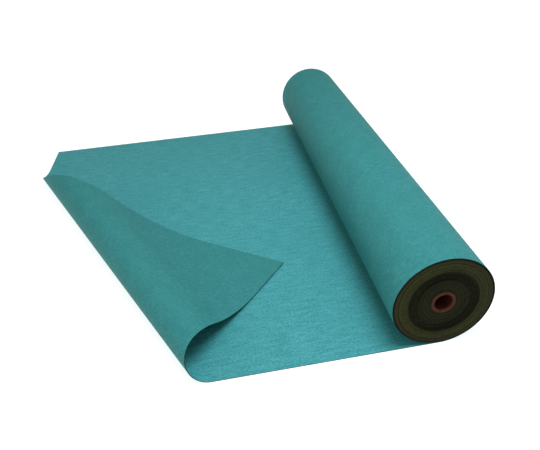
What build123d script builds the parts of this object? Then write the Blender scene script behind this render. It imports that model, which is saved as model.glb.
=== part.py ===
from build123d import *
import os
from math import acos, asin, atan2, cos, degrees, hypot, pi, radians, sin

os.makedirs("parts", exist_ok=True)

# A roll of ribbed vinyl sheet standing on the floor, with its free end laid out and one corner
# of that end curled over onto the sheet. X runs along the laid sheet, from its cut end towards
# the roll, Y along the roll's axis, Z up. The origin is the middle of the core's bore.
# Millimetres and degrees.

# Driving sizes
sheet_width = 1220.0  # along the roll's axis
sheet_thickness = 1.5
roll_diameter = 208.0  # over the last turn
laid_length = 937.0  # from the line where the roll stands to the cut end, along the far edge
cut_skew = 27.0  # how much further the cut end is along the near edge, as it isn't cut square
core_bore = 38.1
core_wall = 5.5
tape_width = 25.0  # the strip that holds the sheet's first turn to the core
tape_thickness = 0.2
turn_gap = 0.3  # air between the last turn and its neighbours, which it turns against

# Wraps that slid sideways in winding: a band of turns stands back at one end of the roll and
# out at the other by the same amount.
inner_slip = 2.0  # turns next to the core
middle_slip = 5.0  # turns half-way out
inner_slip_radius = 50.0  # where the inner band gives way to the middle one
middle_slip_radius = 70.0  # where the middle band gives way to the turns that lie true
slip_ramp = 3.0  # radial width over which a band steps to the next

# The curled corner. The sheet is bent to part of a cone there, so its straight lines run to an
# apex past the near edge, and the curl widens towards the cut end. The radii are to the middle
# of the sheet's thickness, in the upright section square to the fold at the lift-off point.
fold_angle = 24.2  # between the fold and the roll's axis
curl_start = 455.0  # from the roll's line to the lift-off point, along the near edge
apex_distance = 2500.0  # from the lift-off point to the apex
curl_radius = 37.0  # the tight bend that lifts off the floor and turns back
curl_turn = 187.0
fall_radius = 88.0  # the wider bend from there down towards the laid sheet
fall_straight = 23.0
rest_radius = 200.0  # the bend the other way that lays the flap flat
rest_gap = 2.0  # between the laid sheet and the flap that lies on it
hinge_across = 33.0  # the line that the flap turns about runs from the apex to this place,
hinge_height = 55.0  # across the fold from the lift-off point and above it

sections_per_turn = 48  # stations along a bend, for each full turn of it
least_sections = 4

# Sizes that follow
roll_radius = roll_diameter / 2
core_radius = core_bore / 2 + core_wall
floor_z = -roll_radius
turn_pitch = sheet_thickness + turn_gap
wound_radius = roll_radius - 2 * turn_pitch
near_y = -sheet_width / 2
middle_z = floor_z + sheet_thickness / 2

along_fold = Vector(sin(radians(fold_angle)), -cos(radians(fold_angle)), 0)
across_fold = Vector(-cos(radians(fold_angle)), -sin(radians(fold_angle)), 0)
lift_off = Vector(-curl_start, near_y, middle_z)
apex = lift_off + along_fold * apex_distance
far_corner = Vector(-laid_length, -near_y, middle_z)
free_corner = Vector(-laid_length - cut_skew, near_y, middle_z)
to_free_corner = free_corner - apex
square_to_cut_end = Vector(sheet_width, -cut_skew, 0)
square_to_near_edge = Vector(0, 1, 0)

# The flap comes down to lie flat, so the bends' heights fix how far the last two turn.
rest_rise = sheet_thickness + rest_gap
top_of_curl = curl_radius * (1 - cos(radians(curl_turn)))
both_radii = fall_radius + rest_radius
drop = rest_rise + rest_radius - top_of_curl - fall_radius * cos(radians(curl_turn))
rest_turn = degrees(acos(drop / hypot(both_radii, fall_straight)) - atan2(fall_straight, both_radii))
fall_turn = 180 + rest_turn - curl_turn

# Each stretch of the section, from the lift-off point: how far it turns, and its length.
stretches = [
    (curl_turn, curl_radius * radians(curl_turn)),
    (fall_turn, fall_radius * radians(fall_turn)),
    (0.0, fall_straight),
    (-rest_turn, rest_radius * radians(rest_turn)),
]


def along_stretch(start, turn, length, share):
    """The place and heading a share of the way along a stretch: (across, height, heading)."""
    across, height, heading = start
    if turn == 0:
        return across + length * share * cos(heading), height + length * share * sin(heading), heading
    radius = length / radians(turn)
    ahead = heading + radians(turn) * share
    return (
        across + radius * (sin(ahead) - sin(heading)),
        height - radius * (cos(ahead) - cos(heading)),
        ahead,
    )


def ruling(place):
    """The sheet's straight line through a place on the section: its direction from the apex, and
    the sheet's normal along it."""
    across, height, heading = place
    direction = lift_off + across_fold * across + Vector(0, 0, height) - apex
    tangent = across_fold * cos(heading) + Vector(0, 0, sin(heading))
    return direction.normalized(), direction.cross(tangent).normalized()


def lifted_corner():
    """Every stretch's rulings, each with how far round the apex it lies in the flat sheet."""
    rulings_of_stretches = []
    place, turned = (0.0, 0.0, 0.0), 0.0
    for turn, length in stretches:
        start = place
        steps = max(least_sections, round(sections_per_turn * abs(turn) / 360))
        rulings = []
        for step in range(steps + 1):
            place = along_stretch(start, turn, length, step / steps)
            direction, normal = ruling(place)
            if rulings:
                turned += radians(rulings[-1][0].get_angle(direction))
            rulings.append((direction, normal, turned))
        rulings_of_stretches.append(rulings)
    return rulings_of_stretches


def edge_reach(turned):
    """How far from the apex the sheet reaches, this far round it: (cut end, near edge)."""
    ray = across_fold * sin(turned) - along_fold * cos(turned)
    to_cut_end = to_free_corner.dot(square_to_cut_end) / ray.dot(square_to_cut_end)
    to_near_edge = to_free_corner.dot(square_to_near_edge) / ray.dot(square_to_near_edge)
    return to_cut_end, to_near_edge


def ends_of(direction, turned):
    """Where a ruling meets the cut end and the near edge."""
    to_cut_end, to_near_edge = edge_reach(turned)
    return apex + direction * to_cut_end, apex + direction * to_near_edge


def cross_section(direction, normal, turned):
    """The sheet's long thin section on one ruling, as a face."""
    at_cut_end, at_near_edge = ends_of(direction, turned)
    lift = normal * (sheet_thickness / 2)
    corners = [at_cut_end - lift, at_near_edge - lift, at_near_edge + lift, at_cut_end + lift]
    return Face(Wire.make_polygon(corners, close=True))


def bent_sheet(rulings):
    """The solid of the sheet along one stretch."""
    return loft([cross_section(*ruling_line) for ruling_line in rulings])


def plate(middle_outline, up):
    """A flat piece of the sheet, with this outline in the middle of its thickness."""
    low = [point - up * (sheet_thickness / 2) for point in middle_outline]
    return extrude(Face(Wire.make_polygon(low, close=True)), amount=sheet_thickness, dir=up)


def flat_web():
    """The laid sheet from the roll's line to the cut end, less the corner that is lifted."""
    fold_at_end = ends_of(-along_fold, 0)[0]
    outline = [
        Vector(-turn_gap, near_y, middle_z),
        lift_off,
        fold_at_end,
        far_corner,
        Vector(-turn_gap, -near_y, middle_z),
    ]
    return plate(outline, Vector(0, 0, 1))


def corner_curl():
    """The tight bend of the lifted corner, from the floor over its top."""
    return bent_sheet(lifted_corner()[0])


def corner_flap():
    """The corner past the top of the curl: down to the laid sheet and flat to the tip."""
    fall, straight, rest = (bent_sheet(rulings) for rulings in lifted_corner()[1:])
    direction, normal, turned = lifted_corner()[-1][-1]
    left = atan2(to_free_corner.dot(across_fold), -to_free_corner.dot(along_fold)) - turned
    tip_direction = direction * cos(left) + normal.cross(direction) * sin(left)
    tip = apex + tip_direction * to_free_corner.length
    flat = plate([*ends_of(direction, turned), tip], normal)
    return fall + straight + rest + flat


def spiral(radius, points=36):
    """One turn of the winding, from the floor up the far side and back, as a curve."""
    places = []
    for step in range(points + 1):
        angle = 2 * pi * step / points
        r = radius - turn_pitch * step / points
        places.append((r * sin(angle), 0, -r * cos(angle)))
    return Spline(*places)


def outer_wrap():
    """The last turn round the roll, which the laid sheet runs on from."""
    outside = spiral(roll_radius)
    inside = spiral(roll_radius - sheet_thickness)
    outline = Wire([
        outside,
        Line(outside @ 1, inside @ 1),
        inside,
        Line(inside @ 0, outside @ 0),
    ])
    return extrude(Face(outline), amount=sheet_width / 2, dir=(0, 1, 0), both=True)


def wound_sheet():
    """All the turns inside the last one, with the bands that slid sideways."""
    steps = [
        (core_radius, inner_slip),
        (inner_slip_radius, inner_slip),
        (inner_slip_radius + slip_ramp, middle_slip),
        (middle_slip_radius, middle_slip),
        (middle_slip_radius + slip_ramp, 0),
        (wound_radius, 0),
    ]
    near_side = [Vector(r, near_y + slip, 0) for r, slip in steps]
    far_side = [Vector(r, -near_y + slip, 0) for r, slip in reversed(steps)]
    outline = Face(Wire.make_polygon(near_side + far_side, close=True))
    turns = revolve(outline, axis=Axis.Y)
    return turns - tape_strip(core_radius - sheet_thickness)


def tape_strip(inside):
    """A strip along the core, from this radius to the tape's outer face."""
    half_angle = degrees(asin(tape_width / 2 / core_radius))
    outside = core_radius + tape_thickness
    profile = Face(Wire.make_polygon(
        [Vector(inside, near_y + inner_slip, 0), Vector(outside, near_y + inner_slip, 0),
         Vector(outside, -near_y, 0), Vector(inside, -near_y, 0)],
        close=True,
    ))
    strip = revolve(profile, axis=Axis.Y, revolution_arc=2 * half_angle)
    return strip.rotate(Axis.Y, -half_angle)


def core_tape():
    """The adhesive strip that holds the sheet's first turn to the core."""
    return tape_strip(core_radius)


def core_tube():
    """The paper tube that the sheet is wound on."""
    ring = Circle(core_radius) - Circle(core_bore / 2)
    return extrude(Plane.XZ * ring, amount=sheet_width / 2, both=True)


for make in (flat_web, corner_curl, corner_flap, outer_wrap, wound_sheet, core_tape, core_tube):
    export_step(make(), f"parts/{make.__name__}.step")

flap_hinge = lift_off + across_fold * hinge_across + Vector(0, 0, hinge_height)
print("flap hinge at", flap_hinge, "along", (apex - flap_hinge).normalized())
print("rest turn", rest_turn, "fall turn", fall_turn)
print("flat sheet", laid_length, "to", laid_length + cut_skew, "x", sheet_width)
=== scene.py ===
from math import acos, atan2, cos, hypot, pi, radians, sin, tau

import bmesh
import bpy
from mathutils import Matrix, Vector, noise


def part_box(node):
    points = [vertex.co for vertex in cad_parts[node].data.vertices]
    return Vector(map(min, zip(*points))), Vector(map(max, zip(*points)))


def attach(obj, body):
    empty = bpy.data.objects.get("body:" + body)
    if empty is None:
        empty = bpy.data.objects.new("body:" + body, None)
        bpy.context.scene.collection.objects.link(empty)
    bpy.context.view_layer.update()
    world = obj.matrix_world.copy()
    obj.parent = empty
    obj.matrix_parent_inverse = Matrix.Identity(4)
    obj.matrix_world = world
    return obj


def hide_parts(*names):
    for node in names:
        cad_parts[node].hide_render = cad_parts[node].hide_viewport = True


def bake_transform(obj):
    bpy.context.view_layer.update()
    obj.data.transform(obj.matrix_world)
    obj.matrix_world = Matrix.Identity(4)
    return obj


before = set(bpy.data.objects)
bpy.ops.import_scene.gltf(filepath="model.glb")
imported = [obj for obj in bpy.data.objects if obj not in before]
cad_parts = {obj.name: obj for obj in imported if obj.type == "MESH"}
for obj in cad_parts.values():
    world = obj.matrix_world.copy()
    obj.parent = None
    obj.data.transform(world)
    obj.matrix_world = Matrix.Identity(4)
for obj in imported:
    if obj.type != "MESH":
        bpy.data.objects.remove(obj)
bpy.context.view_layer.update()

# A roll of ribbed vinyl sheet, partly laid out, with one corner of the free end curled over.
# Metres and radians, in the frame of the CAD model: X runs from the cut end to the roll, Y along
# the roll's axis, Z up, with the origin in the middle of the core's bore.

# ---- sizes from the frame -------------------------------------------------------------------

WEB_LOW, WEB_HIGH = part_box("flat_web")
WRAP_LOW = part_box("outer_wrap")[0]
CORE_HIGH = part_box("core_tube")[1]
WOUND_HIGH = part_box("wound_sheet")[1]

FLOOR = WEB_LOW.z
THICK = WEB_HIGH.z - WEB_LOW.z
MIDDLE_Z = FLOOR + THICK / 2
HALF_WIDTH = WEB_HIGH.y
WIDTH = 2 * HALF_WIDTH
NEAR_Y = -HALF_WIDTH
TURN_GAP = -WEB_HIGH.x
ROLL_RADIUS = -WRAP_LOW.z
TURN_PITCH = THICK + TURN_GAP
WOUND_RADIUS = WOUND_HIGH.x
CORE_RADIUS = CORE_HIGH.x
CORE_END = CORE_HIGH.y
UP = Vector((0, 0, 1))

# ---- sizes repeated from the CAD model ------------------------------------------------------

LAID_LENGTH = 0.937
CUT_SKEW = 0.027
CORE_BORE_RADIUS = 0.01905
INNER_SLIP = 0.002
MIDDLE_SLIP = 0.005
INNER_SLIP_RADIUS = 0.050
MIDDLE_SLIP_RADIUS = 0.070
SLIP_RAMP = 0.003

FOLD_ANGLE = radians(24.2)
CURL_START = 0.455
APEX_DISTANCE = 2.5
CURL_RADIUS = 0.037
CURL_TURN = radians(187)
FALL_RADIUS = 0.088
FALL_STRAIGHT = 0.023
REST_RADIUS = 0.200
REST_GAP = 0.002

ALONG = Vector((sin(FOLD_ANGLE), -cos(FOLD_ANGLE), 0))
ACROSS = Vector((-cos(FOLD_ANGLE), -sin(FOLD_ANGLE), 0))
LIFT_OFF = Vector((-CURL_START, NEAR_Y, MIDDLE_Z))
APEX = LIFT_OFF + ALONG * APEX_DISTANCE
FAR_CORNER = Vector((-LAID_LENGTH, HALF_WIDTH, MIDDLE_Z))
FREE_CORNER = Vector((-LAID_LENGTH - CUT_SKEW, NEAR_Y, MIDDLE_Z))
TO_FREE_CORNER = FREE_CORNER - APEX
SQUARE_TO_CUT_END = Vector((WIDTH, -CUT_SKEW, 0))
SQUARE_TO_NEAR_EDGE = Vector((0, 1, 0))
CORNER_TURNED = atan2(TO_FREE_CORNER.dot(ACROSS), -TO_FREE_CORNER.dot(ALONG))

# ---- the lifted corner's shape --------------------------------------------------------------


def rest_turn():
    """How far the flap's last bend turns, so that the flap lies flat on the laid sheet."""
    top = CURL_RADIUS * (1 - cos(CURL_TURN))
    both = FALL_RADIUS + REST_RADIUS
    drop = THICK + REST_GAP + REST_RADIUS - top - FALL_RADIUS * cos(CURL_TURN)
    return acos(drop / hypot(both, FALL_STRAIGHT)) - atan2(FALL_STRAIGHT, both)


REST_TURN = rest_turn()
FALL_TURN = pi + REST_TURN - CURL_TURN
# Each stretch of the upright section, from the lift-off point: its turn, length and steps.
STRETCHES = [
    (CURL_TURN, CURL_RADIUS * CURL_TURN, 84),
    (FALL_TURN, FALL_RADIUS * FALL_TURN, 20),
    (0.0, FALL_STRAIGHT, 6),
    (-REST_TURN, REST_RADIUS * REST_TURN, 34),
]
FLAT_STEPS = 34


def along_stretch(start, turn, length, share):
    """The place and heading a share of the way along a stretch: across, height, heading."""
    across, height, heading = start
    if turn == 0:
        run = length * share
        return across + run * cos(heading), height + run * sin(heading), heading
    radius = length / turn
    ahead = heading + turn * share
    across += radius * (sin(ahead) - sin(heading))
    height -= radius * (cos(ahead) - cos(heading))
    return across, height, ahead


def lifted_rulings():
    """The sheet's straight lines from the lift-off to the tip: each one's direction from the
    apex, the sheet's normal along it, and how far round the apex it lies in the flat sheet."""
    rulings = []
    place, turned = (0.0, 0.0, 0.0), 0.0
    for turn, length, steps in STRETCHES:
        start = place
        for step in range(0 if not rulings else 1, steps + 1):
            place = along_stretch(start, turn, length, step / steps)
            across, height, heading = place
            direction = (LIFT_OFF + ACROSS * across + UP * height - APEX).normalized()
            tangent = ACROSS * cos(heading) + UP * sin(heading)
            if rulings:
                turned += direction.cross(rulings[-1][0]).length
            rulings.append((direction, direction.cross(tangent).normalized(), turned))
    direction, normal, turned = rulings[-1]
    onward = normal.cross(direction)
    for step in range(1, FLAT_STEPS + 1):
        left = (CORNER_TURNED - turned) * step / FLAT_STEPS
        ray = direction * cos(left) + onward * sin(left)
        rulings.append((ray, normal, turned + left))
    return rulings


def flat_ray(turned):
    """The direction from the apex, this far round it, in the flat sheet."""
    return ACROSS * sin(turned) - ALONG * cos(turned)


def edge_reach(turned):
    """How far from the apex the sheet reaches, this far round it: cut end, near edge."""
    ray = flat_ray(turned)
    to_cut_end = TO_FREE_CORNER.dot(SQUARE_TO_CUT_END) / ray.dot(SQUARE_TO_CUT_END)
    to_near_edge = TO_FREE_CORNER.dot(SQUARE_TO_NEAR_EDGE) / ray.dot(SQUARE_TO_NEAR_EDGE)
    return to_cut_end, to_near_edge


# ---- meshes ---------------------------------------------------------------------------------

FLAT_PLACE = "flat_place"  # the attribute that says where a point lay in the flat sheet
CORNER_ANGLE = radians(40)


def new_object(name, mesh):
    """An object with this mesh, in the scene."""
    thing = bpy.data.objects.new(name, mesh)
    bpy.context.scene.collection.objects.link(thing)
    return thing


def sheet_mesh(name, rows, columns, place, materials, top_gap_shade=0, under_gap_shade=0):
    """A closed sheet of thickness THICK on a grid. place(row, column) gives its middle, its upward
    normal and its place in the flat sheet. The top takes the first material, the underside the
    second and the rim the third, as do this many columns of each face beside the rim: painted
    shade where the faces show in the gaps between rolled-up turns."""
    build = bmesh.new()
    flat_layer = build.verts.layers.float_vector.new(FLAT_PLACE)
    top, under = [], []
    for row in range(rows + 1):
        for layer, side in ((top, 1), (under, -1)):
            line = []
            for column in range(columns + 1):
                middle, normal, flat = place(row, column)
                point = build.verts.new(middle + normal * (side * THICK / 2))
                point[flat_layer] = (flat[0], flat[1], side)
                line.append(point)
            layer.append(line)
    for row in range(rows):
        for column in range(columns):
            # Columns this near the rim take the rim's material: painted shade for the gaps between
            # turns.
            from_rim = min(column, columns - 1 - column)
            a, b = top[row][column], top[row][column + 1]
            c, d = top[row + 1][column + 1], top[row + 1][column]
            build.faces.new((a, b, c, d)).material_index = 2 if from_rim < top_gap_shade else 0
            a, b = under[row][column], under[row][column + 1]
            c, d = under[row + 1][column + 1], under[row + 1][column]
            build.faces.new((d, c, b, a)).material_index = 2 if from_rim < under_gap_shade else 1
    rim = [(0, column) for column in range(columns)]
    rim += [(row, columns) for row in range(rows)]
    rim += [(rows, column) for column in range(columns, 0, -1)]
    rim += [(row, 0) for row in range(rows, 0, -1)]
    for (row, column), (next_row, next_column) in zip(rim, rim[1:] + rim[:1]):
        a, b = top[row][column], top[next_row][next_column]
        c, d = under[next_row][next_column], under[row][column]
        build.faces.new((b, a, d, c)).material_index = 2
    bmesh.ops.remove_doubles(build, verts=build.verts, dist=1e-6)
    return finished_mesh(name, build, materials)


def finished_mesh(name, build, materials):
    """The built mesh as an object, shaded smooth apart from its corners."""
    bmesh.ops.recalc_face_normals(build, faces=build.faces)
    for face in build.faces:
        face.smooth = True
    for edge in build.edges:
        edge.smooth = edge.calc_face_angle() < CORNER_ANGLE
    mesh = bpy.data.meshes.new(name)
    build.to_mesh(mesh)
    build.free()
    for material in materials:
        mesh.materials.append(material)
    return new_object(name, mesh)


LAID_ROWS = 110
LAID_COLUMNS = 140


def laid_sheet():
    """The laid sheet, from the roll's line to the cut end or the lift-off line."""

    def place(row, column):
        y = NEAR_Y + WIDTH * column / LAID_COLUMNS
        cut_x = FAR_CORNER.x - CUT_SKEW * (HALF_WIDTH - y) / WIDTH
        fold_x = LIFT_OFF.x + (y - NEAR_Y) * ALONG.x / ALONG.y
        far_x = max(cut_x, fold_x)
        x = WEB_HIGH.x + (far_x - WEB_HIGH.x) * row / LAID_ROWS
        return Vector((x, y, MIDDLE_Z)), UP, (x, y)

    return sheet_mesh("laid_sheet", LAID_ROWS, LAID_COLUMNS, place, (LAID_FACE, BACK, EDGE))


CORNER_COLUMNS = 80


def curled_corner():
    """The corner from the lift-off line over the curl to the tip."""
    rulings = lifted_rulings()
    rows = len(rulings) - 1

    def place(row, column):
        direction, normal, turned = rulings[row]
        low, high = edge_reach(turned)
        reach = low + (high - low) * column / CORNER_COLUMNS
        flat = APEX + flat_ray(turned) * reach
        return APEX + direction * reach, normal, flat

    return sheet_mesh("curled_corner", rows, CORNER_COLUMNS, place, (FACE, BACK, EDGE))


GAP_SHADE_RIM = 0.006  # how far in from the cut edge the rolled-up faces are painted dark, as shade in the gaps
ACROSS_ROLL = [NEAR_Y, NEAR_Y + GAP_SHADE_RIM, HALF_WIDTH - GAP_SHADE_RIM, HALF_WIDTH]
ROLL_COLUMNS = len(ACROSS_ROLL) - 1
LAST_TURN_ROWS = 180


def last_turn():
    """The last turn round the roll, from the floor up the far side and back down."""

    def place(row, column):
        share = row / LAST_TURN_ROWS
        angle = tau * share
        radius = ROLL_RADIUS - THICK / 2 - TURN_PITCH * share
        out = Vector((sin(angle), 0, -cos(angle)))
        y = ACROSS_ROLL[column]
        return out * radius + Vector((0, y, 0)), -out, (ROLL_RADIUS * angle, y)

    faces = (FACE, BACK, EDGE)
    # The top face's end columns are painted dark, as shade in the gap to the next turn.
    return sheet_mesh("last_turn", LAST_TURN_ROWS, ROLL_COLUMNS, place, faces, top_gap_shade=1)


TURNS = 48
STEPS_PER_TURN = 96
LOOSE_TURNS = 4  # the outermost turns, which line up with the last one
WOUND_PITCH = (WOUND_RADIUS - CORE_RADIUS - THICK) / TURNS
TURN_WANDER = 0.0007  # how far one turn's edge stands out past its neighbours
BAND_WANDER = 0.0009  # how far a few turns together do
EDGE_RIPPLE = 0.0006  # ripples across the turns of the two inner bands


def smooth_step(low, high, value):
    """0 before low, 1 after high and a smooth rise between."""
    share = min(max((value - low) / (high - low), 0.0), 1.0)
    return share * share * (3 - 2 * share)


def slip(radius, angle, turn):
    """How far a turn slid along the roll in winding."""
    past_inner = smooth_step(INNER_SLIP_RADIUS, INNER_SLIP_RADIUS + SLIP_RAMP, radius)
    past_middle = smooth_step(MIDDLE_SLIP_RADIUS, MIDDLE_SLIP_RADIUS + SLIP_RAMP, radius)
    bands = INNER_SLIP + (MIDDLE_SLIP - INNER_SLIP) * past_inner - MIDDLE_SLIP * past_middle
    outermost = smooth_step(WOUND_RADIUS, WOUND_RADIUS - LOOSE_TURNS * THICK, radius)
    wander = TURN_WANDER * noise.noise(Vector((turn * 1.7, 0.3, 5.1)))
    wander += BAND_WANDER * noise.noise(Vector((turn * 0.37, 8.2, 1.4)))
    ripple = noise.noise(Vector((cos(angle) * 9, sin(angle) * 9, radius * 60)))
    ripple *= EDGE_RIPPLE * (1 - past_middle)
    return bands + wander * outermost + ripple


def wound_turns():
    """Every turn inside the last one, as one spiral of sheet from the outside in."""
    rows = TURNS * STEPS_PER_TURN
    lengths = [0.0]
    for row in range(rows):
        radius = WOUND_RADIUS - THICK / 2 - WOUND_PITCH * row / STEPS_PER_TURN
        lengths.append(lengths[-1] + radius * tau / STEPS_PER_TURN)

    def place(row, column):
        turn = row / STEPS_PER_TURN
        angle = tau * turn
        radius = WOUND_RADIUS - THICK / 2 - WOUND_PITCH * turn
        out = Vector((sin(angle), 0, -cos(angle)))
        y = ACROSS_ROLL[column] + slip(radius, angle, turn)
        return out * radius + Vector((0, y, 0)), -out, (lengths[row], y)

    # Each face's end columns take the wound edge's colour, as painted shade in the gaps between
    # turns.
    turns = sheet_mesh("wound_turns", rows, ROLL_COLUMNS, place, (FACE, BACK, WOUND), 1, 1)
    return turns, lengths[-1]


PLIES = 5
PLY_STEP = 0.00025  # how unevenly the plies end
PLY_ROUND = 0.00035  # how far a ply's corners stand back
PLY_PROFILE = ((0.0, PLY_ROUND), (0.25, 0.0), (0.75, 0.0), (0.97, PLY_ROUND))
PLY_FRAY = 0.0001
CORE_SEGMENTS = 144


def core_rim():
    """Radius and distance from the end of each point of a rim, from the bore outwards."""
    ply = (CORE_RADIUS - CORE_BORE_RADIUS) / PLIES
    rim = []
    for number in range(PLIES):
        low = CORE_BORE_RADIUS + ply * number
        back = PLY_STEP * (1 + noise.noise(Vector((number * 2.3, 4.7, 0.9))))
        for share, dip in PLY_PROFILE:
            rim.append((low + ply * share, back + dip))
    rim.append((CORE_RADIUS, 2 * PLY_STEP + PLY_ROUND))
    return rim


def core_paper():
    """The paper tube, with the ends of its plies showing at both rims."""
    near_rim = [(radius, -CORE_END + back) for radius, back in core_rim()]
    outline = near_rim + [(radius, -y) for radius, y in reversed(near_rim)]
    build = bmesh.new()
    rings = []
    for segment in range(CORE_SEGMENTS):
        angle = tau * segment / CORE_SEGMENTS
        ring = []
        for radius, y in outline:
            place = Vector((radius * 900, cos(angle) * 14, sin(angle) * 14))
            fray = PLY_FRAY * noise.noise(place)
            ring.append(build.verts.new((radius * sin(angle), y + fray, radius * cos(angle))))
        rings.append(ring)
    for ring, following in zip(rings, rings[1:] + rings[:1]):
        for point in range(len(outline)):
            after = (point + 1) % len(outline)
            build.faces.new((ring[point], ring[after], following[after], following[point]))
    return finished_mesh("core_paper", build, [CORE])


# ---- materials ------------------------------------------------------------------------------

FACE_HOLLOW = (0.034, 0.238, 0.246)
FACE_RIB = (0.094, 0.402, 0.420)
FACE_CLOUD = (0.046, 0.284, 0.275)
BACK_HOLLOW = (0.031, 0.192, 0.190)
BACK_RAISED = (0.053, 0.270, 0.270)
BACK_CLOUD = (0.040, 0.230, 0.208)
BACK_MOTTLE = (0.028, 0.178, 0.170)
RIM_DARK = (0.004, 0.022, 0.020)
RIM_LIGHT = (0.010, 0.046, 0.040)
TURN_DARK = (0.024, 0.027, 0.008)
TURN_LIGHT = (0.054, 0.062, 0.018)
TURN_STREAK = (0.010, 0.010, 0.004)
TURN_SHADOW = (0.010, 0.010, 0.003)
TURN_RUST = (0.046, 0.026, 0.011)
# The next colour is painted shade for the recessed bands at the roll's ends.
RECESS_SHADE_TURN = (0.005, 0.005, 0.0015)
DEEP_CHIP = (0.026, 0.026, 0.010)
PAPER_DARK = (0.050, 0.018, 0.009)
PAPER_LIGHT = (0.110, 0.042, 0.022)
PAPER_SEAM = (0.015, 0.007, 0.004)
# The bore's colour: redder paper, darkened with painted shade.
BORE_PAPER_SHADED = (0.045, 0.007, 0.005)
TAPE_DARK = (0.50, 0.42, 0.28)
TAPE_LIGHT = (0.66, 0.58, 0.42)
SEAM_PITCH = 0.11  # along the core, from one helical seam to the next
SEAM_SHARE = 0.012  # the seam's share of that


def new_material(name, roughness, specular):
    """A material with an even roughness and specular level, and its nodes and shader."""
    material = bpy.data.materials.new(name)
    material.use_nodes = True
    tree = material.node_tree
    shader = tree.nodes["Principled BSDF"]
    shader.inputs["Roughness"].default_value = roughness
    shader.inputs["Specular IOR Level"].default_value = specular
    return material, tree, shader


def add(tree, kind, settings=None, **inputs):
    """A node, with its settings and its inputs given as values or as other nodes' outputs. An
    input goes by its name, with _ for a space, or by its number, as i0 and i1."""
    made = tree.nodes.new(kind)
    for setting, value in (settings or {}).items():
        setattr(made, setting, value)
    for key, value in inputs.items():
        by_number = key[1:].isdigit()
        socket = made.inputs[int(key[1:]) if by_number else key.replace("_", " ")]
        if isinstance(value, bpy.types.NodeSocket):
            tree.links.new(value, socket)
        else:
            socket.default_value = value
    return made


def calc(tree, operation, first, second=0.0):
    """One step of arithmetic on one or two values."""
    return add(tree, "ShaderNodeMath", {"operation": operation}, i0=first, i1=second).outputs[0]


def evenly(tree, first, second):
    """Two values, half of each."""
    halves = [calc(tree, "MULTIPLY", value, 0.5) for value in (first, second)]
    return calc(tree, "ADD", *halves)


def flat_place(tree):
    """Where the shaded point lay in the flat sheet."""
    return add(tree, "ShaderNodeAttribute", {"attribute_name": FLAT_PLACE}).outputs["Vector"]


def object_place(tree):
    """Where the shaded point is in the object."""
    return add(tree, "ShaderNodeTexCoord").outputs["Object"]


def grain(tree, place, scale, detail=3.0, roughness=0.55, shift=(0.0, 0.0, 0.0)):
    """Noise from 0 to 1 that repeats about this many times a metre each way."""
    scaled = add(tree, "ShaderNodeMapping", Scale=scale, Location=shift, Vector=place)
    made = add(tree, "ShaderNodeTexNoise", Vector=scaled.outputs[0], Scale=1.0, Detail=detail,
               Roughness=roughness)
    return made.outputs[0]


def spread(tree, value, low, high, to_low=0.0, to_high=1.0):
    """A value from low to high, spread over another range."""
    made = add(tree, "ShaderNodeMapRange", Value=value, From_Min=low, From_Max=high,
               To_Min=to_low, To_Max=to_high)
    return made.outputs[0]


def blend_colors(tree, share, first, second):
    """The first colour where share is 0 and the second where it is 1."""
    made = add(tree, "ShaderNodeMix", {"data_type": "RGBA"}, i0=share)
    for socket, value in ((made.inputs[6], first), (made.inputs[7], second)):
        if isinstance(value, bpy.types.NodeSocket):
            tree.links.new(value, socket)
        else:
            socket.default_value = (*value, 1)
    return made.outputs[2]


def bump(tree, shader, height, distance, strength=1.0):
    """Relief on the shader's surface, this high in metres where height is 1."""
    made = add(tree, "ShaderNodeBump", Height=height, Distance=distance, Strength=strength)
    tree.links.new(made.outputs[0], shader.inputs["Normal"])


def sheet_face(name, place_of):
    """The ribbed face: fine broken ribs along the sheet, with a soft sheen."""
    material, tree, shader = new_material(name, 0.6, 0.15)
    place = place_of(tree)
    ribs = grain(tree, place, (24, 120, 0), 2.0, 0.7)
    flecks = grain(tree, place, (190, 290, 0), 2.0, 0.7, (3.0, 0, 0))
    clouds = grain(tree, place, (3, 4, 0), 2.0, 0.5, (7.0, 0, 0))
    from_ribs = calc(tree, "MULTIPLY", ribs, 0.35)
    fine = calc(tree, "ADD", from_ribs, calc(tree, "MULTIPLY", flecks, 0.65))
    share = spread(tree, fine, 0.38, 0.62)
    color = blend_colors(tree, share, FACE_HOLLOW, FACE_RIB)
    cloud = spread(tree, clouds, 0.35, 0.65, 0.0, 0.3)
    color = blend_colors(tree, cloud, color, FACE_CLOUD)
    tree.links.new(color, shader.inputs["Base Color"])
    tree.links.new(spread(tree, fine, 0.35, 0.65, 0.72, 0.5), shader.inputs["Roughness"])
    bump(tree, shader, fine, 0.0012, 0.7)
    return material


def sheet_back(name):
    """The underside: a fine cross-hatched emboss, duller than the face."""
    material, tree, shader = new_material(name, 0.7, 0.12)
    place = flat_place(tree)
    along = grain(tree, place, (65, 240, 0), 2.0, 0.65)
    over = grain(tree, place, (240, 85, 0), 2.0, 0.65, (5.0, 0, 0))
    clouds = grain(tree, place, (5, 4, 0), 3.0, 0.55, (2.0, 0, 0))
    fine = evenly(tree, along, over)
    share = spread(tree, fine, 0.36, 0.64)
    color = blend_colors(tree, share, BACK_HOLLOW, BACK_RAISED)
    cloud = spread(tree, clouds, 0.35, 0.65, 0.0, 0.4)
    color = blend_colors(tree, cloud, color, BACK_CLOUD)
    mottle = grain(tree, place, (26, 20, 0), 2.0, 0.6, (11.0, 0, 0))
    patches = spread(tree, mottle, 0.38, 0.66, 0.0, 0.3)
    color = blend_colors(tree, patches, color, BACK_MOTTLE)
    tree.links.new(color, shader.inputs["Base Color"])
    tree.links.new(spread(tree, fine, 0.35, 0.65, 0.8, 0.6), shader.inputs["Roughness"])
    bump(tree, shader, fine, 0.001, 0.6)
    return material


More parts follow.
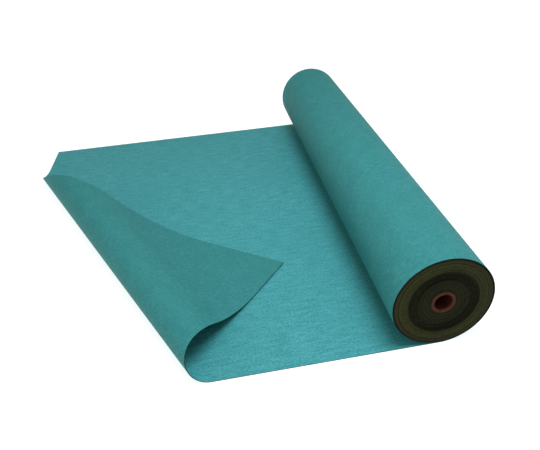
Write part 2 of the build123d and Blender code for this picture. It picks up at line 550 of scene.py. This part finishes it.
def sheet_edge(name):
    """The sheet's cut rim: dark, with the fibres of its backing showing a little."""
    material, tree, shader = new_material(name, 0.8, 0.15)
    fibres = grain(tree, flat_place(tree), (500, 500, 1), 2.0)
    color = blend_colors(tree, spread(tree, fibres, 0.35, 0.65), RIM_DARK, RIM_LIGHT)
    tree.links.new(color, shader.inputs["Base Color"])
    return material


def from_axis(tree, parts):
    """How far the shaded point is from the roll's axis."""
    squares = [calc(tree, "POWER", part, 2) for part in (parts[0], parts[2])]
    return calc(tree, "SQRT", calc(tree, "ADD", *squares))


def past_step(tree, radius, step):
    """0 inside a slip step in the roll's end and 1 outside it."""
    return spread(tree, radius, step - SLIP_RAMP, step + SLIP_RAMP)


def wound_edge(name):
    """The stacked cut edges at the ends of the roll: olive turns of uneven tone, rings of painted
    shadow between turns, and painted shade in the recessed slipped bands and the turns inside
    them.
    """
    material, tree, shader = new_material(name, 0.85, 0.1)
    place = object_place(tree)
    radius = from_axis(tree, add(tree, "ShaderNodeSeparateXYZ", Vector=place).outputs)
    by_radius = add(tree, "ShaderNodeCombineXYZ", X=radius).outputs[0]
    turn_shade = grain(tree, flat_place(tree), (2.2, 0, 0), 2.0, 0.6)
    streaks = grain(tree, place, (260, 1, 260), 3.0, 0.6)
    rings = grain(tree, by_radius, (190, 0, 0), 3.0, 0.6)
    rust = grain(tree, by_radius, (140, 0, 0), 1.0, 0.5, (9.0, 0, 0))
    chips = grain(tree, place, (420, 1, 420), 2.0, 0.6, (4.0, 0, 0))

    color = blend_colors(tree, spread(tree, turn_shade, 0.35, 0.65), TURN_DARK, TURN_LIGHT)
    color = blend_colors(tree, spread(tree, streaks, 0.4, 0.7, 0.0, 0.55), color, TURN_STREAK)
    color = blend_colors(tree, spread(tree, rings, 0.44, 0.56, 0.0, 0.85), color, TURN_SHADOW)
    color = blend_colors(tree, spread(tree, rust, 0.52, 0.68, 0.0, 0.5), color, TURN_RUST)

    # Painted shade darkens the recessed slipped band most and the turns inside it less.
    past_middle = past_step(tree, radius, MIDDLE_SLIP_RADIUS)
    in_band = calc(tree, "SUBTRACT", past_step(tree, radius, INNER_SLIP_RADIUS), past_middle)
    inside = spread(tree, past_middle, 0.0, 1.0, 0.66, 0.0)
    depth = calc(tree, "MAXIMUM", calc(tree, "MULTIPLY", in_band, 0.93), inside)
    color = blend_colors(tree, depth, color, RECESS_SHADE_TURN)
    deep_chips = calc(tree, "MULTIPLY", spread(tree, chips, 0.55, 0.72), depth)
    color = blend_colors(tree, deep_chips, color, DEEP_CHIP)
    tree.links.new(color, shader.inputs["Base Color"])
    bump(tree, shader, streaks, 0.0006, 0.5)
    return material


def core_stock(name):
    """Brown paper: fibres, the helical seams of its plies, and a redder bore, darkened by painted
    shade from 1 mm to 5 mm in from the ends.
    """
    material, tree, shader = new_material(name, 0.85, 0.15)
    place = object_place(tree)
    parts = add(tree, "ShaderNodeSeparateXYZ", Vector=place).outputs
    round_it = calc(tree, "DIVIDE", calc(tree, "ARCTAN2", parts[0], parts[2]), tau)
    along_it = calc(tree, "DIVIDE", parts[1], SEAM_PITCH)
    helix = calc(tree, "FRACT", calc(tree, "ADD", along_it, round_it))
    seam = calc(tree, "LESS_THAN", helix, SEAM_SHARE)
    fibres = grain(tree, place, (420, 160, 420), 4.0, 0.65)
    color = blend_colors(tree, spread(tree, fibres, 0.35, 0.65), PAPER_DARK, PAPER_LIGHT)
    color = blend_colors(tree, seam, color, PAPER_SEAM)
    # Painted shade, with a redder paper colour, deepening from 1 mm to 5 mm in from the ends.
    depth = calc(tree, "SUBTRACT", CORE_END, calc(tree, "ABSOLUTE", parts[1]))
    color = blend_colors(tree, spread(tree, depth, 0.001, 0.005), color, BORE_PAPER_SHADED)
    tree.links.new(color, shader.inputs["Base Color"])
    bump(tree, shader, calc(tree, "SUBTRACT", fibres, seam), 0.0004, 0.7)
    return material


def tape_stock(name):
    """Paper tape with fine crosswise creping."""
    material, tree, shader = new_material(name, 0.7, 0.3)
    place = object_place(tree)
    crepe = grain(tree, place, (900, 60, 900), 3.0)
    color = blend_colors(tree, spread(tree, crepe, 0.35, 0.65), TAPE_DARK, TAPE_LIGHT)
    tree.links.new(color, shader.inputs["Base Color"])
    bump(tree, shader, crepe, 0.0002, 0.6)
    return material


FACE = sheet_face("sheet_face", flat_place)
LAID_FACE = sheet_face("sheet_face_laid", object_place)
BACK = sheet_back("sheet_back")
EDGE = sheet_edge("sheet_edge")
WOUND = wound_edge("wound_edge")
CORE = core_stock("core_paper")
TAPE = tape_stock("core_tape")


# ---- the object -----------------------------------------------------------------------------

def polygon_area(corners):
    """The area inside corners given in turn, seen from above."""
    pairs = zip(corners, corners[1:] + corners[:1])
    return abs(sum(a.x * b.y - b.x * a.y for a, b in pairs)) / 2


def lay_the_sheet():
    """The laid sheet and its curled corner."""
    fold_at_end = APEX - ALONG * edge_reach(0)[0]
    near_roll = Vector((WEB_HIGH.x, NEAR_Y, 0))
    far_roll = Vector((WEB_HIGH.x, HALF_WIDTH, 0))
    web = laid_sheet()
    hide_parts("flat_web")
    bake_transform(web)
    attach(web, "web")
    web_area = polygon_area([near_roll, LIFT_OFF, fold_at_end, FAR_CORNER, far_roll])

    corner = curled_corner()
    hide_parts("corner_curl", "corner_flap")
    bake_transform(corner)
    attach(corner, "web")
    corner_area = polygon_area([LIFT_OFF, fold_at_end, FREE_CORNER])


def build_the_roll():
    """The roll: its last turn, the turns inside it, the paper core and the tape."""
    core = core_paper()
    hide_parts("core_tube")
    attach(core, "roll")
    turns, length = wound_turns()
    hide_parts("wound_sheet")
    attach(turns, "roll")
    wrap = last_turn()
    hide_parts("outer_wrap")
    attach(wrap, "last_turn")
    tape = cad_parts["core_tape"]
    tape.data.materials.clear()
    tape.data.materials.append(TAPE)


lay_the_sheet()
build_the_roll()


# ---- floor, light and camera ----------------------------------------------------------------

FLOOR_REACH = 40
FLOOR_GAP = 0.0005
FLOOR_PAINT = 0.50
FLOOR_GLOW = 0.8  # keeps the floor white right up to the horizon
HORIZON = (0.97, 0.98, 0.92)
ZENITH = (0.90, 1.0, 1.0)
ZENITH_FROM = 0.75  # the height in the sky, as a sine, where it has the zenith's colour
SKY_STRENGTH = 0.52
LAMP_PLACE = Vector((-0.05, -0.65, 1.6))
LAMP_TARGET = Vector((-0.25, -0.2, FLOOR))
LAMP_SIZE = 1.0
LAMP_POWER = 21
LAMP_COLOR = (0.93, 1.0, 1.10)
CAMERA_FROM_AXIS = Vector((-3.8455, -13.0157, 6.7176)) * ROLL_RADIUS
CAMERA_AZIMUTH = -0.14912
CAMERA_ELEVATION = 0.57958
CAMERA_TILT = -0.06106
LENS = 36.56
SENSOR = 36
SHIFT_X = -0.0374
SHIFT_Y = 0.0166


def floor():
    """A plain white floor, just under the sheet."""
    mesh = bpy.data.meshes.new("floor")
    signs = ((-1, -1), (1, -1), (1, 1), (-1, 1))
    corners = [(x * FLOOR_REACH, y * FLOOR_REACH, FLOOR - FLOOR_GAP) for x, y in signs]
    mesh.from_pydata(corners, [], [(0, 1, 2, 3)])
    ground = new_object("floor", mesh)
    material, tree, shader = new_material("floor_paint", 0.9, 0.0)
    shader.inputs["Base Color"].default_value = (FLOOR_PAINT, FLOOR_PAINT, FLOOR_PAINT, 1)
    shader.inputs["Emission Color"].default_value = (1, 1, 1, 1)
    shader.inputs["Emission Strength"].default_value = FLOOR_GLOW
    mesh.materials.append(material)


def sky():
    """Soft light from all round, a little warmer near the horizon."""
    world = bpy.data.worlds.new("studio")
    bpy.context.scene.world = world
    world.use_nodes = True
    tree = world.node_tree
    direction = add(tree, "ShaderNodeTexCoord").outputs["Generated"]
    height = add(tree, "ShaderNodeSeparateXYZ", Vector=direction).outputs[2]
    share = add(tree, "ShaderNodeMapRange", {"interpolation_type": "SMOOTHSTEP"},
                Value=height, From_Min=0.0, From_Max=ZENITH_FROM).outputs[0]
    color = blend_colors(tree, share, HORIZON, ZENITH)
    background = tree.nodes["Background"]
    tree.links.new(color, background.inputs["Color"])
    background.inputs["Strength"].default_value = SKY_STRENGTH


def lamp():
    """One large round lamp over the near part of the sheet."""
    data = bpy.data.lights.new("key", "AREA")
    data.shape = "DISK"
    data.energy = LAMP_POWER
    data.size = LAMP_SIZE
    data.color = LAMP_COLOR
    thing = bpy.data.objects.new("key", data)
    bpy.context.scene.collection.objects.link(thing)
    thing.location = LAMP_PLACE
    thing.rotation_euler = (LAMP_TARGET - LAMP_PLACE).to_track_quat("-Z", "Y").to_euler()


def camera():
    """The camera, in front of the near edge and above it, tilted a little to one side."""
    flat = cos(CAMERA_ELEVATION)
    back = Vector((sin(CAMERA_AZIMUTH) * flat, -cos(CAMERA_AZIMUTH) * flat, sin(CAMERA_ELEVATION)))
    right = Vector((cos(CAMERA_AZIMUTH), sin(CAMERA_AZIMUTH), 0))
    up = back.cross(right)
    tilted_right = right * cos(CAMERA_TILT) + up * sin(CAMERA_TILT)
    tilted_up = up * cos(CAMERA_TILT) - right * sin(CAMERA_TILT)
    data = bpy.data.cameras.new("camera")
    data.sensor_width = SENSOR
    data.lens = LENS
    data.shift_x = SHIFT_X
    data.shift_y = SHIFT_Y
    view = bpy.data.objects.new("camera", data)
    bpy.context.scene.collection.objects.link(view)
    axes = Matrix((tilted_right, tilted_up, back)).transposed().to_4x4()
    view.matrix_world = Matrix.Translation(CAMERA_FROM_AXIS) @ axes
    bpy.context.scene.camera = view


floor()
sky()
lamp()
camera()
bpy.context.scene.view_settings.view_transform = "Standard"
